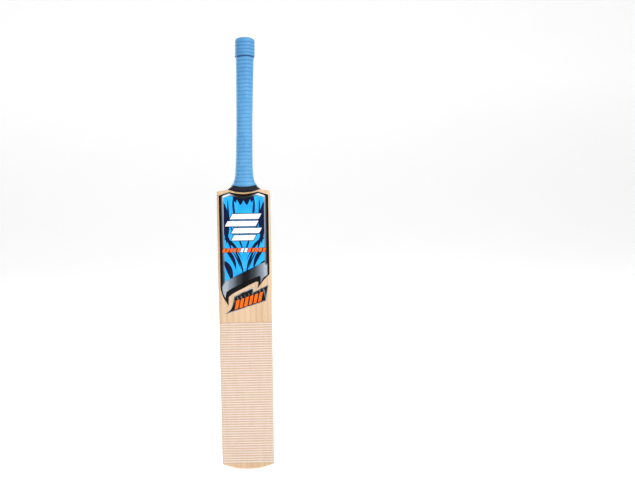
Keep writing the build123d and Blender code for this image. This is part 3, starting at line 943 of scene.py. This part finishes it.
# toe label
toe_half = [
    [(8.2, 112.5), (23, 89), (37.2, 65), (44.2, 38)], [(44.2, 38), (44.8, 21.5)],
    [(44.8, 21.5), (25, 11), (0, 4.5)],
]
toe_inner_half = [[(0, 36.5), (13.5, 49), (20, 68.5)], [(20, 68.5), (14.5, 90.5), (8.2, 112.5)]]
toe_edge = outline(
    *toe_half, flipped(toe_half[2]), flipped(toe_half[1]), flipped(toe_half[0]),
    flipped(toe_inner_half[1]), flipped(toe_inner_half[0]), *toe_inner_half,
)
toe_layers = both([(ink, loop, toe_edge) for ink, loop in [
    ("grey", outline(
        [(8.2, 112.5), (20, 88), (34, 63), (42.4, 38), (42.8, 23)], [(42.8, 23), (25, 13), (0, 6.5)],
        [(0, 6.5), (0, 34), (15.5, 48), (22.5, 68.5)], [(22.5, 68.5), (17.5, 90), (8.2, 112.5)])),
    ("orange", outline(
        [(8.2, 112.5), (23, 89), (37.2, 65), (43.5, 40)],
        [(43.5, 40), (34.6, 62), (20.6, 86.5), (8.2, 112.5)])),
    ("orange", outline(
        [(8.2, 112.5), (14.5, 90.5), (20, 68.5), (17, 56)],
        [(17, 56), (22.3, 69), (17.4, 91), (8.2, 112.5)])),
]])
for k in range(14):
    toe_layers.append((
        "white" if k in (6, 7) else "orange",
        bar(-37.7 + 5.8 * k, 15.8 + 0.15 * (k - 6.5) ** 2, 4.1, 6.6, 14), toe_edge,
    ))


def toe_tone(u, v):
    """Dark streaks along the horns and under the arch, grey between them."""
    streak = math.exp(-(((abs(u) - 31 + (v - 40) * 0.16) / 4.2) ** 2)) if v < 78 else 0.0
    middle = math.exp(-((u / 8) ** 2))
    low = min(max((v - 18) / 36, 0.0), 1.0)
    return 0.04 + (0.74 - 0.7 * streak - 0.55 * middle) * (0.12 + 0.88 * low)


label(
    "back_toe_label_print", "back_toe_label", "back", toe_edge, toe_layers,
    toe_tone, spacing=(2.2, 1.6),
)

# edge labels


def edge_tone(u, v):
    """Brightest halfway down, with fine streaks along the edge."""
    return 0.20 + 0.75 * math.exp(-(((v - 428) / 42) ** 2)) + 0.12 * math.cos((u - FACE_Y - 12) / 1.6)


for word in ("right", "left"):
    run_back = [
        (FACE_Y + 13, 554), (FACE_Y + 16, 480), (FACE_Y + 20, 405), (FACE_Y + 17, 345), (FACE_Y + 10.5, 302),
    ]
    run_front = [(FACE_Y + 10.5, 302), (FACE_Y + 6, 345), (FACE_Y + 4.3, 400), (FACE_Y + 4.8, 554)]
    edge_loop = outline([(FACE_Y + 4.8, 554), (FACE_Y + 13, 554)], run_back, run_front)
    layers = [("silver", outline(
        [(FACE_Y + 9.6, 541), (FACE_Y + 11.5, 536)],
        [(FACE_Y + 11.5, 536), (FACE_Y + 13.6, 480), (FACE_Y + 16.2, 424)],
        [(FACE_Y + 16.2, 424), (FACE_Y + 13, 412), (FACE_Y + 9.4, 408)],
        [(FACE_Y + 9.4, 408), (FACE_Y + 9.0, 470), (FACE_Y + 9.6, 541)]), edge_loop)]
    for y0, z0, y1, z1, width in (
        (6.0, 553, 10.5, 534, 5.0), (5.4, 532, 7.6, 512, 2.6), (8.2, 508, 6.0, 486, 2.0),
        (5.0, 424, 8.4, 396, 2.6), (6.0, 412, 13.0, 388, 3.6), (13.4, 398, 8.6, 370, 3.0),
        (6.4, 388, 9.6, 362, 3.4), (12.6, 374, 8.6, 346, 2.8),
        (7.0, 356, 11.0, 332, 3.4), (9.2, 338, 10.6, 310, 2.6),
    ):
        layers.append(("blue", leaf(FACE_Y + y0, z0, FACE_Y + y1, z1, width, 0.6), edge_loop))
    layers.append(("orange", outline(
        [(FACE_Y + 19.2, 398), (FACE_Y + 16.6, 352), (FACE_Y + 12.2, 316)],
        [(FACE_Y + 12.2, 316), (FACE_Y + 15.2, 352), (FACE_Y + 17.2, 398)],
        [(FACE_Y + 17.2, 398), (FACE_Y + 19.2, 398)])))
    label(
        f"edge_label_{word}_print", f"edge_label_{word}", word, edge_loop, layers,
        edge_tone,
        spacing=(1.6, 3.4),
    )

# ---- floor, light and camera -------------------------------------------------------------------
floor_mat = Shader("studio_floor", Roughness=0.75, Emission_Color=(1, 1, 1, 1), Emission_Strength=0.42)
cloud = floor_mat.noise(floor_mat.scaled(3, 3, 3), 4.0, 0.5)
floor_mat.colour(floor_mat.mix(cloud, srgb(248, 248, 248), srgb(253, 253, 253)))
BEND_Y, BEND_RADIUS, BEND_STEPS = 3.0, 2.0, 12
sweep = [(-6.0, 0.0), (BEND_Y, 0.0)]
for step in range(1, BEND_STEPS + 1):
    turn = math.radians(90 * step / BEND_STEPS)
    sweep.append((BEND_Y + BEND_RADIUS * math.sin(turn), BEND_RADIUS - BEND_RADIUS * math.cos(turn)))
sweep.append((5.0, 8.0))
floor_verts = [Vector((x, y, z)) for y, z in sweep for x in (-9.0, 9.0)]
floor_faces = [(2 * i, 2 * i + 1, 2 * i + 3, 2 * i + 2) for i in range(len(sweep) - 1)]
floor_mesh = bpy.data.meshes.new("studio_floor")
floor_mesh.from_pydata([tuple(v) for v in floor_verts], [], floor_faces)
floor_mesh.materials.append(floor_mat.mat)
floor_mesh.polygons.foreach_set("use_smooth", [True] * len(floor_mesh.polygons))
floor = bpy.data.objects.new("studio_floor", floor_mesh)
scene.collection.objects.link(floor)

world = bpy.data.worlds.new("studio")
world.use_nodes = True
sky = world.node_tree
backdrop = sky.nodes["Background"]
backdrop.inputs["Color"].default_value = (1.0, 1.0, 1.0, 1.0)
seen = sky.nodes.new("ShaderNodeLightPath").outputs["Is Camera Ray"]
strength = sky.nodes.new("ShaderNodeMath")
strength.operation = "MULTIPLY_ADD"
LIT_BY, SEEN_AS = 0.33, 0.98  # strength as light, and as the camera sees it
strength.inputs[1].default_value = SEEN_AS - LIT_BY
strength.inputs[2].default_value = LIT_BY
sky.links.new(seen, strength.inputs[0])
sky.links.new(strength.outputs[0], backdrop.inputs["Strength"])
scene.world = world


def soft_light(name, place, target, size, power):
    lamp = bpy.data.lights.new(name, "AREA")
    lamp.shape = "RECTANGLE"
    lamp.size, lamp.size_y = size
    lamp.energy = power
    holder = bpy.data.objects.new(name, lamp)
    holder.location = place
    holder.rotation_euler = (Vector(target) - Vector(place)).to_track_quat("-Z", "Y").to_euler()
    scene.collection.objects.link(holder)


soft_light("key", (1.3, -1.5, 1.5), (0, 0, 0.45), (1.0, 1.4), 29)
soft_light("fill", (-1.6, -1.3, 0.9), (0, 0, 0.45), (1.2, 1.6), 7)
soft_light("top", (0.0, 0.2, 2.4), (0, 0, 0.3), (1.6, 1.6), 14)
soft_light("back", (-1.3, 1.8, 1.4), (0, 0, 0.45), (1.0, 1.4), 26)

camera_data = bpy.data.cameras.new("camera")
camera = bpy.data.objects.new("camera", camera_data)
scene.collection.objects.link(camera)
SENSOR_WIDTH, IMAGE_WIDTH, FOCAL_WIDTH = 36.0, 635, 579.1  # millimetres, then two in image points
camera_data.sensor_width = SENSOR_WIDTH
camera_data.lens = FOCAL_WIDTH / IMAGE_WIDTH * SENSOR_WIDTH
camera_data.shift_x = 0.115
camera_data.clip_start, camera_data.clip_end = 0.05, 20
camera.location = (0.0, -1.1718, 0.5075)
look_down, roll = math.radians(3.49), math.radians(-1.09)
camera.rotation_euler = (
    Euler((math.radians(90) - look_down, 0, 0)).to_matrix() @ Euler((0, 0, roll)).to_matrix()
).to_euler()
scene.camera = camera
